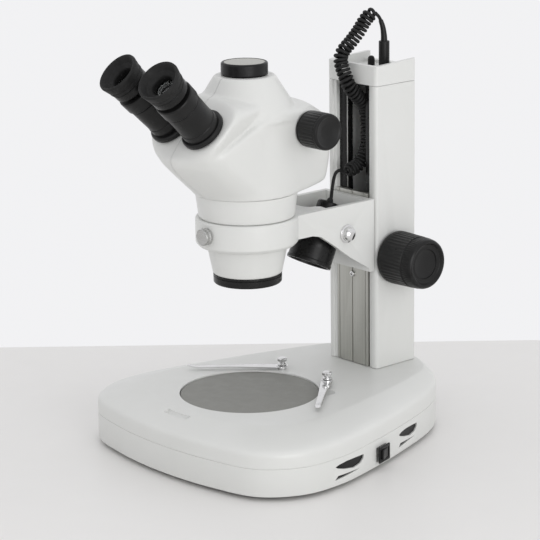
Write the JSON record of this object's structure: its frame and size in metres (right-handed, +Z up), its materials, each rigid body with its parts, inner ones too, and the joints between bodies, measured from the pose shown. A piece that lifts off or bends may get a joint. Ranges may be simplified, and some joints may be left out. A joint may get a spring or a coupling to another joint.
{
  "type": "stereo microscope",
  "caption": "Trinocular zoom stereo microscope on a rack-and-pinion track stand with a lit stage, a tilting top lamp, a coiled lamp cord and stage clips.",
  "frame": {"origin": "centre of the object's footprint (without the lamp cord), on the surface that the feet stand on", "axes": "+Z up, -Y towards the user, +X to the user's right; the optical axis is vertical at X = 0, Y = -35 mm"},
  "size_m": [0.2986, 0.3607, 0.4214],
  "materials": {
    "white_casting": "off-white baked enamel with a fine orange peel",
    "white_plastic": "satin off-white moulded shell",
    "black_plastic": "satin black moulding",
    "black_metal": "black anodised and lacquered metal",
    "rubber": "soft black rubber",
    "steel": "ground steel",
    "chrome": "polished chrome plate",
    "brass": "turned brass",
    "aluminium": "grey anodised aluminium",
    "silver": "bright turned aluminium",
    "glass": "coated optical glass",
    "frosted_glass": "frosted grey glass",
    "circuit_board": "green glass-fibre board"
  },
  "bodies": {
    "stand": {"base_shell": "white_casting", "bottom_plate": "steel", "foot_front_right": "rubber", "foot_front_left": "rubber", "foot_rear_right": "rubber", "foot_rear_left": "rubber", "stage_light_board": "circuit_board", "power_board": "circuit_board", "clip_screw_right": "chrome", "clip_screw_left": "chrome", "switch_frame": "black_plastic", "power_inlet": "black_plastic", "column_shell": "white_casting", "column_cap": "white_plastic", "lamp_socket": "black_plastic", "knob_bushing_right": "brass", "knob_bushing_left": "brass", "lamp_plug": "black_plastic", "lamp_coil": "rubber"},
    "stage_plate": {"stage_plate": "frosted_glass"},
    "clip_right": {"clip_leaf_right": "steel"},
    "clip_left": {"clip_leaf_left": "steel"},
    "switch": {"power_switch": "black_plastic"},
    "dimmer": {"dimmer_knob": "black_plastic"},
    "focus_drive": {"pinion_shaft": "steel", "focus_knob_right": "black_plastic", "focus_knob_left": "black_plastic"},
    "carriage": {"focus_slider": "aluminium", "focus_rack": "steel", "slider_stop_screw": "steel", "focus_arm": "white_casting", "lamp_bolt_right": "chrome", "lamp_bolt_left": "chrome"},
    "lock_screw": {"head_lock_screw": "silver"},
    "lamp": {"lamp_housing": "black_metal", "lamp_lens": "glass", "lamp_led": "circuit_board", "lamp_strain_relief": "rubber", "lamp_cord_tail": "rubber"},
    "head": {"objective_barrel": "white_plastic", "objective_collar": "white_plastic", "objective_ring": "black_metal", "objective_lens": "glass", "head_shell_right": "white_plastic", "head_shell_left": "white_plastic", "camera_port_tube": "black_metal", "camera_port_cap": "black_plastic"},
    "zoom": {"zoom_shaft": "steel", "zoom_knob_right": "black_plastic", "zoom_knob_left": "black_plastic"},
    "tube_right": {"eyetube_right": "black_metal"},
    "tube_left": {"eyetube_left": "black_metal"},
    "diopter_right": {"diopter_ring_right": "black_metal"},
    "diopter_left": {"diopter_ring_left": "black_metal"},
    "ocular_right": {"eyepiece_right": "black_metal", "eyecup_right": "rubber", "eye_lens_right": "glass"},
    "ocular_left": {"eyepiece_left": "black_metal", "eyecup_left": "rubber", "eye_lens_left": "glass"}
  },
  "joints": [
    {"name": "focus_slide", "type": "slide", "parent": "stand", "child": "carriage", "axis": [0, 0, 1], "range_m": [0, 0.05], "deforming": ["lamp_coil"]},
    {"name": "focus_turn", "type": "hinge", "parent": "stand", "child": "focus_drive", "pos_m": [0, 0.129, 0.1735], "axis": [-1, 0, 0], "range_deg": [-2, 410.3]},
    {"name": "stage_plate_lift", "type": "slide", "parent": "stand", "child": "stage_plate", "axis": [0, 0, 1], "range_m": [0, 0.03]},
    {"name": "clip_right_swing", "type": "hinge", "parent": "stand", "child": "clip_right", "pos_m": [0.0335, 0.038, 0.0622], "axis": [0, 0, 1], "range_deg": [-50, 30]},
    {"name": "clip_left_swing", "type": "hinge", "parent": "stand", "child": "clip_left", "pos_m": [-0.0335, 0.038, 0.0622], "axis": [0, 0, -1], "range_deg": [-50, 30]},
    {"name": "power_switch_rock", "type": "hinge", "parent": "stand", "child": "switch", "pos_m": [0.1344, 0.016, 0.0165], "axis": [0, 0, -1], "range_deg": [0, 14]},
    {"name": "dimmer_turn", "type": "hinge", "parent": "stand", "child": "dimmer", "pos_m": [-0.009, 0.141, 0.365], "axis": [0, 0, 1], "range_deg": [0, 270]},
    {"name": "head_lock_turn", "type": "hinge", "parent": "carriage", "child": "lock_screw", "pos_m": [0, -0.085, 0.225], "axis": [0, -1, 0], "range_deg": [0, 360]},
    {"name": "lamp_tilt", "type": "hinge", "parent": "carriage", "child": "lamp", "pos_m": [0, 0.0648, 0.2078], "axis": [1, 0, 0], "range_deg": [-8, 8]},
    {"name": "head_rotate", "type": "hinge", "parent": "carriage", "child": "head", "pos_m": [0, -0.035, 0.2375], "axis": [0, 0, 1], "range_deg": [-120, 120]},
    {"name": "zoom_turn", "type": "hinge", "parent": "head", "child": "zoom", "pos_m": [0, 0.0016, 0.3245], "axis": [1, 0, 0], "range_deg": [0, 270]},
    {"name": "eyetube_right_swing", "type": "hinge", "parent": "head", "child": "tube_right", "pos_m": [0.0131, -0.09176, 0.34724], "axis": [0, -0.7071, 0.7071], "range_deg": [-2, 28]},
    {"name": "eyetube_left_swing", "type": "hinge", "parent": "head", "child": "tube_left", "pos_m": [-0.0131, -0.09176, 0.34724], "axis": [0, 0.7071, -0.7071], "range_deg": [-2, 28]},
    {"name": "diopter_right_turn", "type": "hinge", "parent": "tube_right", "child": "diopter_right", "pos_m": [0.0231, -0.1059, 0.3331], "axis": [0.085, -0.7178, 0.6911], "range_deg": [-150, 150]},
    {"name": "diopter_left_turn", "type": "hinge", "parent": "tube_left", "child": "diopter_left", "pos_m": [-0.0231, -0.1059, 0.3331], "axis": [-0.085, -0.7178, 0.6911], "range_deg": [-150, 150]},
    {"name": "ocular_right_slide", "type": "slide", "parent": "tube_right", "child": "ocular_right", "axis": [0.085, -0.7178, 0.6911], "range_m": [-0.0031, 0.0031]},
    {"name": "ocular_left_slide", "type": "slide", "parent": "tube_left", "child": "ocular_left", "axis": [-0.085, -0.7178, 0.6911], "range_m": [-0.0031, 0.0031]}
  ],
  "couplings": [
    {"joint": "focus_turn", "follows": "focus_slide", "rad_per_m": 142.86},
    {"joint": "eyetube_left_swing", "follows": "eyetube_right_swing", "ratio": 1},
    {"joint": "diopter_right_turn", "follows": "ocular_right_slide", "rad_per_m": 833.33},
    {"joint": "diopter_left_turn", "follows": "ocular_left_slide", "rad_per_m": 833.33}
  ]
}
